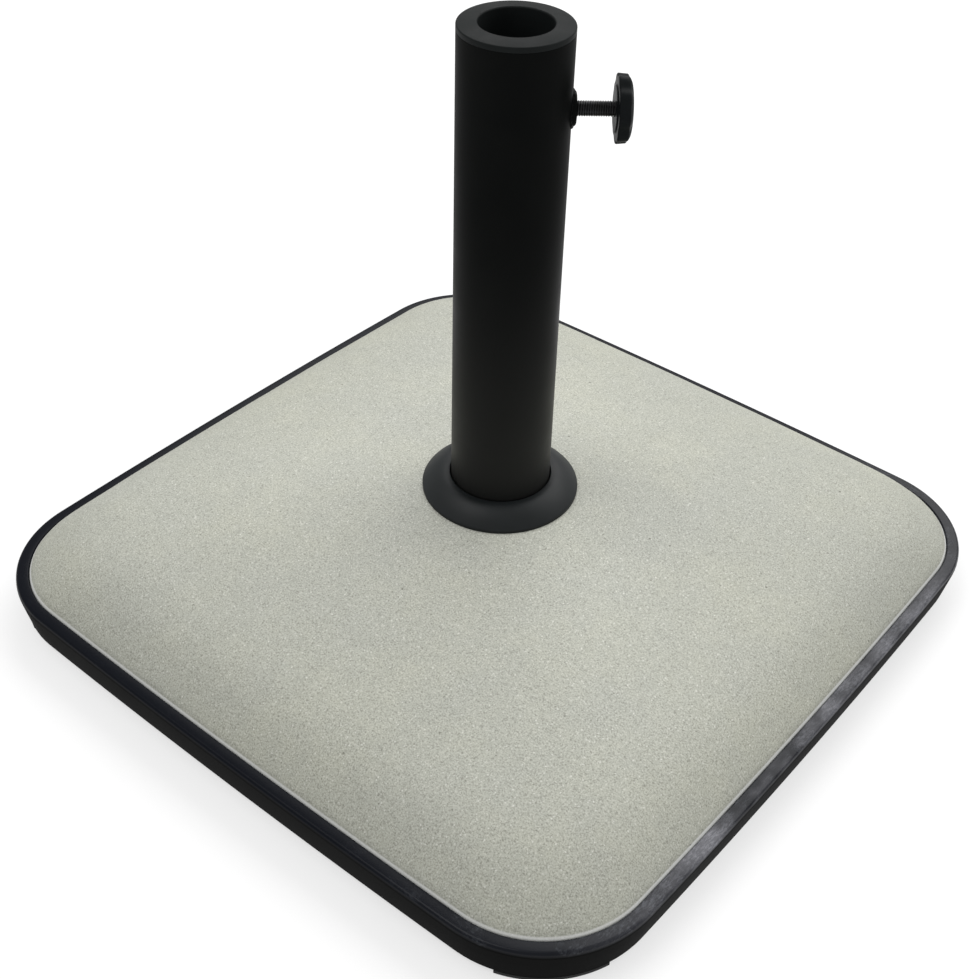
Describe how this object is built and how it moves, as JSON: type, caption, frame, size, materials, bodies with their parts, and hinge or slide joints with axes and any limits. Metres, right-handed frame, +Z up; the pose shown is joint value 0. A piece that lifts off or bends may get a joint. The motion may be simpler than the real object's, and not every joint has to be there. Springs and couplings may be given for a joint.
{
  "type": "parasol base",
  "caption": "Square parasol base: a crowned concrete slab in a black edge tray, with an upright steel tube, a pole reducer and a side clamp screw.",
  "frame": {"origin": "on the floor under the middle of the slab, which is also the tube's centre line", "axes": "+Z up along the tube and the pole bore; X and Y along the slab's sides; the clamp screw points between them, 41 degrees from +X"},
  "size_m": [0.47, 0.47, 0.369],
  "materials": {
    "concrete": "fine speckled cast concrete",
    "tray_plastic": "semi-gloss black moulding",
    "foot_rubber": "matt black",
    "sleeve_plastic": "plain grey tube",
    "zinc_steel": "zinc plated",
    "bare_steel": "mill finish",
    "black_steel": "black oxide",
    "powder_coat": "matt black powder coat",
    "moulded_plastic": "fine-grained black moulding",
    "pad_plastic": "natural nylon",
    "knob_plastic": "semi-gloss black moulding",
    "insert_brass": "turned brass"
  },
  "bodies": {
    "base": {"ballast_slab": "concrete", "edge_tray": "tray_plastic", "corner_feet": "foot_rubber", "bolt_sleeve": "sleeve_plastic", "plate_washer": "zinc_steel", "spring_washer": "zinc_steel", "fixing_bolt": "zinc_steel", "tube": "powder_coat", "foot_disc": "bare_steel", "foot_nut": "zinc_steel", "clamp_boss": "powder_coat", "tube_collar": "moulded_plastic", "reducer_cap": "moulded_plastic", "lower_pole_guide": "moulded_plastic", "pole_rest": "moulded_plastic"},
    "clamp_tip": {"pressure_pad": "pad_plastic"},
    "clamp_knob_and_screw": {"clamp_screw": "black_steel", "clamp_knob": "knob_plastic", "knob_insert": "insert_brass", "knob_cap": "knob_plastic"}
  },
  "joints": [
    {"name": "screw_advance", "type": "slide", "parent": "base", "child": "clamp_tip", "axis": [-0.7547, -0.6561, 0], "range_m": [-0.005, 0.018]},
    {"name": "knob_turn", "type": "hinge", "parent": "clamp_tip", "child": "clamp_knob_and_screw", "pos_m": [0, 0, 0.324], "axis": [-0.7547, -0.6561, 0], "range_deg": [-1439, 5183]}
  ],
  "couplings": [
    {"joint": "screw_advance", "follows": "knob_turn", "m_per_rad": 0.00019894}
  ]
}
